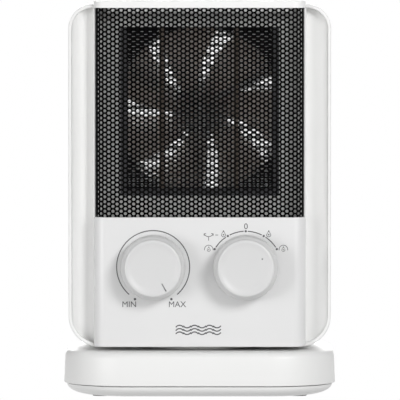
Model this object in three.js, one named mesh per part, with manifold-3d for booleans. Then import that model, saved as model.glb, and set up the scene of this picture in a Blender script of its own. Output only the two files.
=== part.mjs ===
// Ceramic fan heater on an oscillating base.
// Millimetres, +Z up, the front faces -Y, the swivel axis is the Z axis and the feet stand on z = 0.
import * as THREE from 'three';
import { mergeVertices } from 'three/addons/utils/BufferGeometryUtils.js';
import Module from 'manifold-3d';

const wasm = await Module();
wasm.setup();

// ---------------------------------------------------------------- driving dimensions

const BASE = { w: 171.3, d: 130.2, r: 42, wall: 2.4, split: 8.2, top: 29.2, lid: 2.4, draft: 0.0105 };
const TRAY = { bottom: 1.6, floor: 4.1, bulge: 16, inset: 1.6 };
const FOOT = { x: 61.8, y: 30, r: 5.8, stem: 2.2 };
const TRAY_SCREW = { x: 38, y: 40 };
const PLUNGER = { x: -52, y: 8, r: 3, tip: 0.2 };
const GLAND = { z: 17, r: 6, bore: 3.5, front: 56, back: 64.8 };

const CRANK = { y: 17, arm: 9.75, pin: 2 };
const HUB = { r: 34, bottom: 26.4, flange: 37, flangeZ: 29.5, wire: 6, screws: 32 };

const SHELL = { x: 82.5, z0: 31.2, z1: 246.6, rLow: 19.5, rTop: 15.5, wall: 2.2, front: -38, back: 34 };
const REAR = { back: 50, wall: 2.2, screwX: 68, screwZ: [46, 232] };
const TOWER = { x: 65, front: -46, root: -30, bend: 6.5, z0: 113.4, z1: 244.4, sheet: 0.8 };
const LIP = { x: 66, front: -46.5, z0: 244.5, z1: 248.7 };
const PANEL = { x: 66.6, front: -47, bend: 8, z0: 31.7, z1: 113.2, wall: 2.4 };
const RIDGE = { x0: 65.3, x1: 67, front: -39 };
const KNOB = { r: 20.3, back: -48.5, face: -64.5, z: 82, thermostatX: -29.2, selectorX: 28.9 };

const CORE = { z: 181.2, x: 45.5, h: 50.8, rim: 4.5, edge: 7, front: -27.6, back: -9 };
const FAN = { z: 179.5, r: 52, hub: 13, blades: 7, first: -52, front: 0, back: 16, duct: 53.5 };
const MOTOR = { r: 17.5, front: 22.4, back: 42 };

// ---------------------------------------------------------------- finishes
const finish = (color, roughness, metalness = 0) =>
  new THREE.MeshStandardMaterial({ color, roughness, metalness });
const WHITE = finish(0xe4e4e2, 0.45);
const LIGHT = finish(0xd4d4d2, 0.5);
const BLACK = finish(0x1b1b1c, 0.5, 0.3);
const DARK = finish(0x34363a, 0.6);
const RUBBER = finish(0x2b2b2b, 0.9);
const STEEL = finish(0xb4b6b8, 0.35, 0.9);
const ALUMINIUM = finish(0xc2c4c6, 0.4, 0.9);
const AMBER = finish(0x9a6a48, 0.6);
const CERAMIC = finish(0xcdbfae, 0.7);
const COPPER_RED = finish(0x8d3a2c, 0.6);

// ---------------------------------------------------------------- shape helpers
/** Turn a closed geometry into a solid that faces outwards. */
function solid(geometry) {
  geometry.deleteAttribute('normal');
  geometry.deleteAttribute('uv');
  const merged = mergeVertices(geometry, 1e-4);
  const p = merged.attributes.position;
  const corners = Array.from(merged.index.array);
  const triVerts = [];
  let volume = 0;
  for (let i = 0; i < corners.length; i += 3) {
    const [a, b, c] = corners.slice(i, i + 3);
    if (a === b || b === c || c === a) continue;
    triVerts.push(a, b, c);
    const va = new THREE.Vector3().fromBufferAttribute(p, a);
    const vb = new THREE.Vector3().fromBufferAttribute(p, b);
    const vc = new THREE.Vector3().fromBufferAttribute(p, c);
    volume += va.dot(vb.cross(vc));
  }
  if (volume < 0) triVerts.reverse();
  const mesh = new wasm.Mesh({
    numProp: 3,
    vertProperties: new Float32Array(p.array),
    triVerts: new Uint32Array(triVerts),
  });
  return new wasm.Manifold(mesh);
}

/** Box between two corners. */
function box(x0, y0, z0, x1, y1, z1) {
  const g = new THREE.BoxGeometry(x1 - x0, y1 - y0, z1 - z0);
  g.translate((x0 + x1) / 2, (y0 + y1) / 2, (z0 + z1) / 2);
  return solid(g);
}

/** Upright cylinder from z0 to z1. */
function post(x, y, r, z0, z1, sides = 16) {
  const g = new THREE.CylinderGeometry(r, r, z1 - z0, sides);
  g.rotateX(Math.PI / 2);
  g.translate(x, y, (z0 + z1) / 2);
  return solid(g);
}

/** Cylinder lying along Y from y0 to y1. */
function bar(x, z, r, y0, y1, sides = 16) {
  const g = new THREE.CylinderGeometry(r, r, y1 - y0, sides);
  g.translate(x, (y0 + y1) / 2, z);
  return solid(g);
}

/** Solid of revolution about Z; profile is [radius, z] pairs that start and end on the axis. */
function turnedUp(profile, sides = 24) {
  const g = new THREE.LatheGeometry(profile.map(([r, z]) => new THREE.Vector2(r, z)), sides);
  g.rotateX(Math.PI / 2);
  return solid(g);
}

/** Solid of revolution about Y through (x, z); profile is [radius, y] pairs. */
function turnedAcross(profile, x, z, sides = 32) {
  const g = new THREE.LatheGeometry(profile.map(([r, y]) => new THREE.Vector2(r, y)), sides);
  g.translate(x, 0, z);
  return solid(g);
}

/** Rectangle with its lower and upper corners rounded separately. */
function roundedRect(x0, y0, x1, y1, rLow, rTop = rLow) {
  const s = new THREE.Shape();
  s.absarc(x1 - rLow, y0 + rLow, rLow, -Math.PI / 2, 0, false);
  s.absarc(x1 - rTop, y1 - rTop, rTop, 0, Math.PI / 2, false);
  s.absarc(x0 + rTop, y1 - rTop, rTop, Math.PI / 2, Math.PI, false);
  s.absarc(x0 + rLow, y0 + rLow, rLow, Math.PI, Math.PI * 1.5, false);
  return s;
}

/** Shape drawn through [x, y] pairs. */
function outline(points) {
  return new THREE.Shape(points.map(([x, y]) => new THREE.Vector2(x, y)));
}

/** Plan shape raised from z0 to z1. */
function raised(shape, z0, z1, options = {}) {
  const { bevel = [0, 0, 1], segments = 5, taper = 0 } = options;
  const [size, thickness, steps] = bevel;
  const g = new THREE.ExtrudeGeometry(shape, {
    depth: z1 - z0 - 2 * thickness,
    curveSegments: segments,
    bevelEnabled: size > 0,
    bevelSize: size,
    bevelOffset: -size,
    bevelThickness: thickness,
    bevelSegments: steps,
  });
  g.translate(0, 0, z0 + thickness);
  const p = g.attributes.position;
  for (let i = 0; i < p.count && taper > 0; i += 1) {
    const k = 1 - (taper * (p.getZ(i) - z0)) / (z1 - z0);
    p.setXY(i, p.getX(i) * k, p.getY(i) * k);
  }
  return solid(g);
}

/** Front-view shape (x, z) carried backwards from y0 to y1. */
function facing(shape, y0, y1, options = {}) {
  const { bevel = [0, 0, 1], segments = 5 } = options;
  const [size, thickness, steps] = bevel;
  const g = new THREE.ExtrudeGeometry(shape, {
    depth: y1 - y0 - 2 * thickness,
    curveSegments: segments,
    bevelEnabled: size > 0,
    bevelSize: size,
    bevelOffset: -size,
    bevelThickness: thickness,
    bevelSegments: steps,
  });
  g.rotateX(Math.PI / 2);
  g.translate(0, y1 - thickness, 0);
  return solid(g);
}

/** Round lead through a list of points. */
function lead(points, r) {
  const path = new THREE.CatmullRomCurve3(points.map(([x, y, z]) => new THREE.Vector3(x, y, z)));
  const ring = new THREE.Shape();
  ring.absarc(0, 0, r, 0, Math.PI * 2, false);
  return solid(new THREE.ExtrudeGeometry(ring, { steps: 7, curveSegments: 4, extrudePath: path }));
}

/** Join a list of solids. */
const join = (solids) => solids.reduce((sum, s) => sum.add(s));

/** Cut a list of solids from a blank. */
const cut = (blank, tools) => tools.reduce((left, s) => left.subtract(s), blank);

const heater = new THREE.Group();
heater.name = 'ceramic_space_heater';

/** Add one named piece to the assembly. */
function piece(name, body, material) {
  const out = body.getMesh();
  const g = new THREE.BufferGeometry();
  g.setAttribute('position', new THREE.BufferAttribute(out.vertProperties.slice(), 3));
  g.setIndex(new THREE.BufferAttribute(out.triVerts.slice(), 1));
  const flat = g.toNonIndexed();
  flat.computeVertexNormals();
  const mesh = new THREE.Mesh(flat, material);
  mesh.name = name;
  heater.add(mesh);
}

/** Every sign pair of a two-way symmetric layout. */
const QUADRANTS = [[-1, -1], [1, -1], [1, 1], [-1, 1]];

// ---------------------------------------------------------------- base
/** Rounded plan of the base, drawn in from its outer edge by an inset. */
const basePlan = (inset) =>
  roundedRect(
    -BASE.w / 2 + inset,
    -BASE.d / 2 + inset,
    BASE.w / 2 - inset,
    BASE.d / 2 - inset,
    BASE.r - inset,
  );

/** Deck with its open hub hole, screw bosses and cord hole. */
function buildBaseCover() {
  const { split, top, wall, lid, draft } = BASE;
  const blank = raised(basePlan(0), split - 4, top, { bevel: [2.2, 2.2, 2], taper: draft });
  const hollow = raised(basePlan(wall), split - 5, top - lid, { taper: draft });
  const bosses = QUADRANTS.map(([sx, sy]) =>
    post(sx * TRAY_SCREW.x, sy * TRAY_SCREW.y, 3.6, split - 2.8, top - lid + 0.4),
  );
  const pilots = QUADRANTS.map(([sx, sy]) =>
    post(sx * TRAY_SCREW.x, sy * TRAY_SCREW.y, 1.6, split - 4, 17, 10),
  );
  const shell = cut(blank, [
    hollow,
    box(-100, -100, split - 6, 100, 100, split),
    post(0, 0, HUB.r + 0.4, top - 6, top + 2, 40),
    bar(0, GLAND.z, GLAND.r + 0.1, 50, 70),
  ]);
  return cut(join([shell, ...bosses]), pilots);
}

/** Shallow bowl with a flat floor, screw pads and holes for feet, plunger and screws. */
function buildBaseTray() {
  const { bottom, floor, bulge, inset } = TRAY;
  const rise = BASE.split - bottom;
  const bowl = raised(basePlan(inset), bottom, BASE.split + rise, { bevel: [bulge, rise - 0.01, 2] });
  const scoop = raised(basePlan(inset + BASE.wall), floor, 2 * BASE.split - floor + 2, {
    bevel: [bulge - 1.5, BASE.split - floor, 2],
  });
  const pads = QUADRANTS.map(([sx, sy]) =>
    post(sx * TRAY_SCREW.x, sy * TRAY_SCREW.y, 4.6, floor - 1, BASE.split - 2.8),
  );
  const shell = cut(bowl, [scoop, box(-100, -100, BASE.split, 100, 100, 60)]);
  const screwHoles = QUADRANTS.flatMap(([sx, sy]) => [
    post(sx * TRAY_SCREW.x, sy * TRAY_SCREW.y, 1.7, 0, 12, 10),
    post(sx * TRAY_SCREW.x, sy * TRAY_SCREW.y, 3.3, 0, 3.7, 12),
  ]);
  const footHoles = QUADRANTS.map(([sx, sy]) =>
    post(sx * FOOT.x, sy * FOOT.y, FOOT.stem + 0.1, 0, 6, 10),
  );
  const motorHoles = [-1, 1].map((sx) => post(sx * 28.5, CRANK.y, 1.5, 2.2, 6, 12));
  const plungerHole = post(PLUNGER.x, PLUNGER.y, PLUNGER.r + 0.4, 0, 6, 20);
  return cut(join([shell, ...pads]), [...screwHoles, ...footHoles, ...motorHoles, plungerHole]);
}

function buildBase() {
  piece('base_cover', buildBaseCover(), WHITE);
  piece('base_tray', buildBaseTray(), WHITE);

  const pad = [[0, 0], [5.3, 0], [FOOT.r, 0.5], [FOOT.r, 1.6]];
  const footProfile = [...pad, [FOOT.stem, 1.6], [FOOT.stem, 5], [0, 5]];
  QUADRANTS.forEach(([sx, sy], i) => {
    const foot = turnedUp(footProfile, 14).translate(sx * FOOT.x, sy * FOOT.y, 0);
    piece(`foot_${i + 1}`, foot, RUBBER);
  });

  QUADRANTS.forEach(([sx, sy], i) => {
    const screw = post(0, 0, 3, 1.9, 3.7, 12).add(post(0, 0, 1.5, 3.6, 16, 8));
    const slotted = screw.subtract(box(-2.2, -0.4, 1, 2.2, 0.4, 2.7));
    piece(`tray_screw_${i + 1}`, slotted.translate(sx * TRAY_SCREW.x, sy * TRAY_SCREW.y, 0), STEEL);
  });

  const slab = raised(roundedRect(-46, -45, 46, -12, 18, 6), TRAY.floor, TRAY.floor + 5);
  const reliefs = [-1, 1].map((sx) => post(sx * TRAY_SCREW.x, -TRAY_SCREW.y, 5.4, 0, 20));
  piece('ballast_plate', cut(slab, reliefs), STEEL);

  const can = join([
    post(0, CRANK.y, 24, TRAY.floor, 17.5, 40),
    box(-32, CRANK.y - 4.5, TRAY.floor, 32, CRANK.y + 4.5, 5.3),
    post(0, CRANK.y, 6, 17, 18.6),
  ]);
  const earHoles = [-1, 1].map((sx) => post(sx * 28.5, CRANK.y, 1.5, 3, 6, 12));
  piece('osc_motor', cut(can, [post(0, CRANK.y, 3.3, 12, 20), ...earHoles]), STEEL);
  [-1, 1].forEach((sx, i) => {
    const x = sx * 28.5;
    const screw = join([post(x, CRANK.y, 2.6, 5.3, 7, 10), post(x, CRANK.y, 1.3, 2.6, 5.4, 8)]);
    piece(`osc_motor_screw_${i + 1}`, screw, STEEL);
  });

  const { x, y, r } = PLUNGER;
  const housing = box(x - 7, y - 10, TRAY.floor, x + 7, y + 10, 20.5);
  const chamber = post(x, y, r + 2, 8.6, 18.6, 20);
  piece('tip_switch_body', cut(housing, [chamber, post(x, y, r + 0.4, 3, 10, 20)]), DARK);

  const bush = join([bar(0, GLAND.z, GLAND.r, GLAND.front, GLAND.back), bar(0, GLAND.z, 7.3, 60, 61.9)]);
  piece('cord_gland', cut(bush, [bar(0, GLAND.z, GLAND.bore, 50, 70, 20)]), DARK);

  const run = [[0, 55.6, 17], [-14, 49, 15.5], [-28, 38, 13], [-37, 24, 12], [-40.5, 11, 12], [-44, 9.5, 12]];
  piece('base_lead', lead(run, 1.7), DARK);
}

// ---------------------------------------------------------------- oscillation drive
function buildDrive() {
  const hub = turnedUp(
    [[0, HUB.bottom], [HUB.r, HUB.bottom], [HUB.r, HUB.flangeZ], [HUB.flange, HUB.flangeZ],
        [HUB.flange, SHELL.z0], [0, SHELL.z0]],
    40,
  );
  const near = CRANK.y * Math.cos(Math.asin(CRANK.arm / CRANK.y)) - CRANK.pin - 0.6;
  const far = CRANK.y + CRANK.arm + CRANK.pin + 0.6;
  const slot = raised(roundedRect(-3.9, near, 3.9, far, 1.5), 20, 40, { segments: 3 });
  const screwAt = [-90, 30, 150].map((deg) => {
    const a = THREE.MathUtils.degToRad(deg);
    return [HUB.screws * Math.cos(a), HUB.screws * Math.sin(a)];
  });
  const clearance = screwAt.map(([x, y]) => post(x, y, 1.3, 20, 40, 12));
  piece('turntable', cut(hub, [slot, post(0, 0, HUB.wire, 20, 40), ...clearance]), LIGHT);

  const ring = cut(post(0, 0, 38, 24.2, HUB.bottom, 40), [post(0, 0, 29.6, 20, 30, 40), ...clearance]);
  piece('retainer_ring', ring, DARK);
  screwAt.forEach(([x, y], i) => {
    const screw = join([post(x, y, 2.3, 22.8, 24.2, 10), post(x, y, 1.1, 24.1, 33, 8)]);
    piece(`ring_screw_${i + 1}`, screw, STEEL);
  });

  const pinY = CRANK.y + CRANK.arm;
  const arm = join([
    post(0, CRANK.y, 6.5, 20, 23.4),
    post(0, pinY, 3.2, 20, 23.4),
    box(-3.2, CRANK.y, 20, 3.2, pinY, 23.4),
    post(0, CRANK.y, 3, 12.6, 20.2),
    post(0, pinY, CRANK.pin, 23, 30.4, 16),
  ]);
  piece('osc_crank', arm, DARK);

  const stem = [[0, PLUNGER.tip], [2.2, PLUNGER.tip], [PLUNGER.r, 1.2], [PLUNGER.r, 13]];
  const plunger = turnedUp([...stem, [4.5, 13], [4.5, 14.6], [0, 14.6]], 20);
  piece('tilt_plunger', plunger.translate(PLUNGER.x, PLUNGER.y, 0), DARK);
}

// ---------------------------------------------------------------- housing
const shellOutline = (inset) =>
  roundedRect(
    -SHELL.x + inset,
    SHELL.z0 + inset,
    SHELL.x - inset,
    SHELL.z1 - inset,
    SHELL.rLow - inset,
    SHELL.rTop - inset,
  );

/** The four positions of the screws that hold the rear cover. */
const rearScrewAt = REAR.screwZ.flatMap((z) => [-1, 1].map((sx) => [sx * REAR.screwX, z]));

function buildOuterShell() {
  const { front, back, wall } = SHELL;
  const blank = facing(shellOutline(0), front, back + 1, { bevel: [0.8, 0.8, 1], segments: 5 });
  const tools = [
    facing(shellOutline(wall), front - 1, back + 2, { segments: 5 }),
    box(-100, back, 0, 100, back + 5, 300),
    post(0, 0, HUB.wire, 20, 40),
  ];
  const tube = cut(blank, tools);
  const bosses = rearScrewAt.map(([x, z]) => {
    const edge = Math.sign(x) * 81;
    const rib = box(Math.min(x, edge), 16, z - 1.2, Math.max(x, edge), back, z + 1.2);
    return bar(x, z, 4.2, 16, back).add(rib);
  });
  const holes = [
    ...rearScrewAt.map(([x, z]) => bar(x, z, 1.6, 20, back + 1, 12)),
    ...[-90, 30, 150].map((deg) => {
      const a = THREE.MathUtils.degToRad(deg);
      return post(HUB.screws * Math.cos(a), HUB.screws * Math.sin(a), 1.3, 30, 40, 12);
    }),
  ];
  return cut(join([tube, ...bosses]), holes);
}

function buildRearCover() {
  const { back: y0 } = SHELL;
  const { back: y1, wall } = REAR;
  const dome = { bevel: [9, 11, 3], segments: 4 };
  const outer = facing(shellOutline(0), y0 - 14, y1, dome).subtract(box(-100, 0, 0, 100, y0, 300));
  const inner = facing(shellOutline(wall), y0 - 16, y1 - wall, dome);
  const cups = rearScrewAt.map(([x, z]) => bar(x, z, 5.6, y0, y1));
  const shell = cut(outer, [inner]).add(join(cups).intersect(outer));
  const slots = [];
  const pitch = 6.6;
  for (let i = -7.5; i <= 7.5; i += 1) {
    const z = FAN.z + i * pitch;
    const half = Math.sqrt(FAN.duct ** 2 - (i * pitch) ** 2);
    slots.push(box(-half, y0, z - 2.3, -1.6, y1 + 1, z + 2.3));
    slots.push(box(1.6, y0, z - 2.3, half, y1 + 1, z + 2.3));
  }
  const screws = rearScrewAt.flatMap(([x, z]) => [
    bar(x, z, 4, y0 + 2.2, y1 + 1, 20),
    bar(x, z, 1.8, y0 - 1, y0 + 3, 12),
  ]);
  return cut(shell, [...slots, ...screws]);
}

/** One moulding: concave wings, the plate behind the mesh with its window, and the top lip. */
function buildFrontBezel() {
  const wing = [[67.2, -30], [71, -30.4], [74.6, -31.7], [77.8, -34], [80.2, -37.6]];
  const rear = [[80.2, -34.2], [76.6, -30.2], [72.5, -28.2], [69, CORE.front]];
  const half = [...wing, ...rear];
  const mirrored = half.map(([x, y]) => [-x, y]).reverse();
  const plan = outline([...half, ...mirrored]);
  const plate = raised(plan, SHELL.z0 + 2, SHELL.z1 - 2).intersect(
    facing(shellOutline(SHELL.wall + 0.1), -60, 0, { segments: 5 }),
  );
  const { x, z, h, rim } = CORE;
  const tools = [
    box(-x - rim, -50, z - h - rim, x + rim, 0, z + h + rim),
    box(-54, -50, 52, 54, 0, 106),
  ];
  const ridges = [-1, 1].map((sx) => {
    const [a, b] = [sx * RIDGE.x0, sx * RIDGE.x1].sort((p, q) => p - q);
    return box(a, RIDGE.front, TOWER.z0, b, -28.5, TOWER.z1);
  });
  const lip = join([
    facing(roundedRect(-LIP.x, LIP.z0, LIP.x, LIP.z1, 0.6, 1.6), LIP.front, -38.3, { segments: 4 }),
    facing(roundedRect(-LIP.x, SHELL.z1 + 0.1, LIP.x, LIP.z1, 0.3, 1.6), -40, -33, { segments: 4 }),
    box(-58, -44.8, 241.6, 58, CORE.front, 244.2),
    box(-58, -44.8, 243.6, 58, -38.3, 245),
  ]);
  return join([cut(plate, tools), lip, ...ridges]);
}

/** Bent sheet with rows of openings across its flat front. */
function buildGrilleMesh() {
  const { x, front, root, bend, z0, z1, sheet } = TOWER;
  const plan = new THREE.Shape();
  plan.moveTo(x, root);
  plan.absarc(x - bend, front + bend, bend, 0, -Math.PI / 2, true);
  plan.absarc(-x + bend, front + bend, bend, -Math.PI / 2, -Math.PI, true);
  plan.lineTo(-x, root);
  plan.lineTo(-x + sheet, root);
  plan.absarc(-x + bend, front + bend, bend - sheet, Math.PI, Math.PI * 1.5, false);
  plan.absarc(x - bend, front + bend, bend - sheet, Math.PI * 1.5, Math.PI * 2, false);
  plan.lineTo(x - sheet, root);
  const slots = [];
  const columns = 4;
  const rows = 11;
  const w = 114 / columns;
  const h = (z1 - z0 - 6) / rows;
  for (let i = 0; i < columns; i += 1) {
    for (let j = 0; j < rows; j += 1) {
      const cx = -57 + (i + 0.5) * w;
      const cz = z0 + 3 + (j + 0.5) * h;
      slots.push(box(cx - w / 2 + 1.2, front - 2, cz - h / 4, cx + w / 2 - 1.2, front + 2, cz + h / 4));
    }
  }
  return cut(raised(plan, z0, z1, { segments: 5 }), [join(slots)]);
}

/** Plan of the proud centre tower: flat front, rounded at both corners, square at the back. */
function towerPlan(x, front, bend, root) {
  const plan = new THREE.Shape();
  plan.moveTo(x, root);
  plan.absarc(x - bend, front + bend, bend, 0, -Math.PI / 2, true);
  plan.absarc(-x + bend, front + bend, bend, -Math.PI / 2, -Math.PI, true);
  plan.lineTo(-x, root);
  return plan;
}

function buildControlPanel() {
  const { x, front, bend, z0, z1, wall } = PANEL;
  const root = TOWER.root;
  const face = raised(towerPlan(x, front, bend, root), z0, z1);
  const tools = [
    raised(towerPlan(x - wall, front + wall, bend - wall, root + 1), z0 + wall, z1 - wall),
    box(-100, SHELL.front - 0.3, 0, 100, root + 1, SHELL.z0 + SHELL.wall + 0.8),
    bar(KNOB.thermostatX, KNOB.z, 3.5, front - 5, root),
    bar(KNOB.selectorX, KNOB.z, 3.5, front - 5, root),
  ];
  return cut(face, tools);
}

/** Round knob with a soft rim, a shallow dished face and an engraved pointer. */
function buildKnob(x, pointerDeg) {
  const { r, back, face, z } = KNOB;
  const profile = [
    [0, back], [r, back], [r, -57], [r - 0.8, -61.5], [r - 2.4, -63.9], [r - 4, face],
    [r - 6, face + 0.6], [0, face + 1],
  ];
  const dish = turnedAcross(profile, 0, 0, 28);
  const recess = bar(0, 0, r - 2.6, back - 7.5, back + 1, 28).subtract(bar(0, 0, 6, back - 9, back + 2));
  const groove = box(-0.8, face - 1, 11.2, 0.8, face + 1.7, 16.8).rotate([0, pointerDeg, 0]);
  const socket = bar(0, 0, 3.05, -58.2, back + 1);
  return cut(dish, [recess, groove, socket]).translate(x, 0, z);
}

function buildHousing() {
  piece('outer_shell', buildOuterShell(), WHITE);
  piece('rear_cover', buildRearCover(), WHITE);
  rearScrewAt.forEach(([x, z], i) => {
    const head = bar(x, z, 3.2, SHELL.back + 2.2, SHELL.back + 4.2, 12);
    const shank = bar(x, z, 1.5, SHELL.back - 11, SHELL.back + 2.4, 8);
    const drive = box(x - 2.2, SHELL.back + 3.4, z - 0.4, x + 2.2, SHELL.back + 6, z + 0.4);
    piece(`rear_screw_${i + 1}`, head.add(shank).subtract(drive), STEEL);
  });
  piece('front_bezel', buildFrontBezel(), LIGHT);
  piece('grille_mesh', buildGrilleMesh(), BLACK);
  piece('control_panel', buildControlPanel(), WHITE);

  const { thermostatX, selectorX, z } = KNOB;
  const bore = (x) => bar(x, z, 3.3, -46, -25.6);
  const seat = PANEL.front + PANEL.wall;
  const thermostat = join([
    box(thermostatX - 15, -42, z - 15, thermostatX + 15, -24, z + 15),
    bar(thermostatX, z, 5, seat, -41),
  ]);
  piece('thermostat_body', thermostat.subtract(bore(thermostatX)), CERAMIC);
  const selector = join([
    box(selectorX - 14, -42, z - 16, selectorX + 14, -20, z + 16),
    bar(selectorX, z, 5, seat, -41),
  ]);
  piece('selector_switch_body', selector.subtract(bore(selectorX)), DARK);
  piece('thermostat_shaft', bar(thermostatX, z, 3, -57.9, -26), STEEL);
  piece('selector_shaft', bar(selectorX, z, 3, -57.9, -26), STEEL);
  piece('thermostat_knob', buildKnob(thermostatX, 150), LIGHT);
  piece('selector_knob', buildKnob(selectorX, 60), LIGHT);
}

// ---------------------------------------------------------------- heating core and fan
function buildCore() {
  const { z, x, h, edge, front, back } = CORE;
  const plate = roundedRect(-x - edge, z - h - edge, x + edge, z + h + edge, 2);
  const opening = box(-x, -40, z - h, x, 0, z + h);
  piece('heater_frame', facing(plate, front, back, { segments: 2 }).subtract(opening), DARK);

  const barX = [-25.5, 21.5];
  const barW = 3;
  barX.forEach((x0, i) => {
    piece(`ceramic_bar_${i + 1}`, box(x0, -26, z - h, x0 + barW, -11, z + h), CERAMIC);
  });
  const folds = 24;
  const crease = 3; // run of the folded edge; the sheet itself is about 0.3 thick
  const gap = 0.05;
  const bays = [[-x, barX[0]], [barX[0] + barW, -0.5], [-0.5, barX[1]], [barX[1] + barW, x]];
  bays.forEach(([left, right], i) => {
    const step = (2 * h - 2) / folds;
    const zigzag = Array.from({ length: folds + 1 }, (_, k) => [
      k % 2 === 0 ? left + gap : right - gap - crease,
      z - h + 1 + k * step,
    ]);
    const outer = zigzag.map(([px, pz]) => [px + crease, pz]).reverse();
    piece(`fin_pack_${i + 1}`, facing(outline([...zigzag, ...outer]), -25.5, -11.5), ALUMINIUM);
  });

  const duct = FAN.duct;
  const shroud = join([
    facing(plate, back, back + 2.4, { segments: 2 }),
    bar(0, FAN.z, duct + 2, back, 20, 36),
  ]);
  piece('fan_shroud', shroud.subtract(bar(0, FAN.z, duct, back - 1, 21, 36)), DARK);

  const rim = bar(0, FAN.z, duct + 2, 20, MOTOR.front, 36).subtract(bar(0, FAN.z, duct - 2.5, 19, 24, 36));
  const spokes = [90, 210, 330].map((deg) =>
    box(10, 20, -3.5, duct - 1, MOTOR.front, 3.5).rotate([0, deg, 0]).translate(0, 0, FAN.z),
  );
  const bracket = join([rim, bar(0, FAN.z, MOTOR.r, 20, MOTOR.front), ...spokes]);
  piece('motor_bracket', bracket.subtract(bar(0, FAN.z, 6, 19, 24)), STEEL);
  const can = join([
    bar(0, FAN.z, MOTOR.r, MOTOR.front, MOTOR.back, 32),
    bar(0, FAN.z, 6, MOTOR.back - 1, 45),
  ]);
  piece('fan_motor', can.subtract(bar(0, FAN.z, 1.9, 20, 40, 16)), STEEL);
  piece('motor_shaft', bar(0, FAN.z, 1.6, 1, 39, 16), STEEL);

  const blade = box(9, 6.9, -14, FAN.r, 8.9, 14).rotate([32, 0, 0]);
  const sweep = bar(0, 0, FAN.r, FAN.front, FAN.back, 36);
  const turn = (i) => FAN.first + (360 / FAN.blades) * i;
  const blades = Array.from({ length: FAN.blades }, (_, i) => blade.rotate([0, turn(i), 0]));
  const rotor = join([bar(0, 0, FAN.hub, FAN.front, FAN.back, 32), join(blades).intersect(sweep)]);
  piece('impeller', rotor.subtract(bar(0, 0, 1.65, -2, 18, 16)).translate(0, 0, FAN.z), AMBER);

  piece('thermal_cutout', post(0, -18, 8, z + h + edge, z + h + edge + 5, 20), STEEL);
  piece('thermal_fuse', post(x + edge + 2.1, -18, 2.1, z - 6, z + 6, 12), COPPER_RED);
  const block = box(-18, 10, SHELL.z0 + SHELL.wall, 18, 24, 47);
  const ways = [-12, -4, 4, 12].map((wx) => box(wx - 2.6, 9, 41, wx + 2.6, 25, 48));
  piece('terminal_block', cut(block, ways), LIGHT);
  const rise = [[12, 17, 42], [12, 13, 70], [12, 2, 95], [12, -15, 112]];
  piece('heater_lead', lead([...rise, [12, -18, z - h - edge - 0.3]], 1.4), COPPER_RED);
  const run = [[26, -19.3, 82], [24, -12, 80], [10, 8, 62], [4, 17, 50], [4, 17, 42]];
  piece('mains_lead', lead(run, 1.4), DARK);
}

buildBase();
buildDrive();
buildHousing();
buildCore();

export default heater;
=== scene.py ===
"""Ceramic fan heater on an oscillating base: its looks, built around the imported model."""

import logging
import math
from dataclasses import dataclass, field
from enum import Enum
from typing import Callable, Iterable, Sequence

import bmesh
import bpy
from mathutils import Matrix, Vector


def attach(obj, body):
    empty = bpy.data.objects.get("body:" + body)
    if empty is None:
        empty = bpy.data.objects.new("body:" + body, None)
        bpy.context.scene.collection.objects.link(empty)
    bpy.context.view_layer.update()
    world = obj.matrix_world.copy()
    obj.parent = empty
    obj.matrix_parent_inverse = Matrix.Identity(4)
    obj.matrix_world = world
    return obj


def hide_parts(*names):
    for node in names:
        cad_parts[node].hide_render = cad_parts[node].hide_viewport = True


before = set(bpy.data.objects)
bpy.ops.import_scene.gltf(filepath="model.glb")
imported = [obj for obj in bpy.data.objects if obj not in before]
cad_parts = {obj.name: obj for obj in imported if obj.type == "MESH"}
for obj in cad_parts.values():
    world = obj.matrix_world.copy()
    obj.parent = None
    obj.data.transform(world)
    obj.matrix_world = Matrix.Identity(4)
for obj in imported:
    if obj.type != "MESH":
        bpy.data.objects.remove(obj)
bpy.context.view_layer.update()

log = logging.getLogger("heater")
logging.basicConfig(level=logging.INFO, format="%(name)s: %(message)s")

MM = 0.001
IMAGE_SIDE = 400

Point = tuple[float, float, float]
Test = Callable[[Vector], bool]


class Axis(Enum):
    """A direction of the shared frame."""

    X = 0
    Y = 1
    Z = 2

    @property
    def unit(self) -> Vector:
        """The unit vector along this axis."""
        return Vector([1.0 if i == self.value else 0.0 for i in range(3)])


class Side(Enum):
    """Left or right of the heater, seen from the front."""

    LEFT = -1
    RIGHT = 1


# ---------------------------------------------------------------- finishes
def linear(hex_colour: str) -> tuple[float, float, float, float]:
    """Turn an sRGB hex colour into linear light.

    Args:
        hex_colour: six hex digits, with or without a leading hash.

    Returns:
        Red, green, blue and an alpha of one.
    """
    digits = hex_colour.lstrip("#")
    parts = [int(digits[i : i + 2], 16) / 255 for i in (0, 2, 4)]
    curve = [p / 12.92 if p <= 0.04045 else ((p + 0.055) / 1.055) ** 2.4 for p in parts]
    return (curve[0], curve[1], curve[2], 1.0)


def add_node(
    tree: bpy.types.NodeTree,
    kind: str,
    settings: dict[str, object] | None = None,
    links: dict[str | int, bpy.types.NodeSocket] | None = None,
) -> bpy.types.Node:
    """Add a node with its settings and incoming links.

    Args:
        tree: the node tree to add to.
        kind: the node's type name.
        settings: values by attribute name, or by input name or index.
        links: source sockets by input name or index.

    Returns:
        The new node.
    """
    node = tree.nodes.new(kind)
    for key, value in (settings or {}).items():
        if isinstance(key, str) and hasattr(node, key):
            setattr(node, key, value)
        else:
            node.inputs[key].default_value = value
    for key, socket in (links or {}).items():
        tree.links.new(socket, node.inputs[key])
    return node


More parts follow.
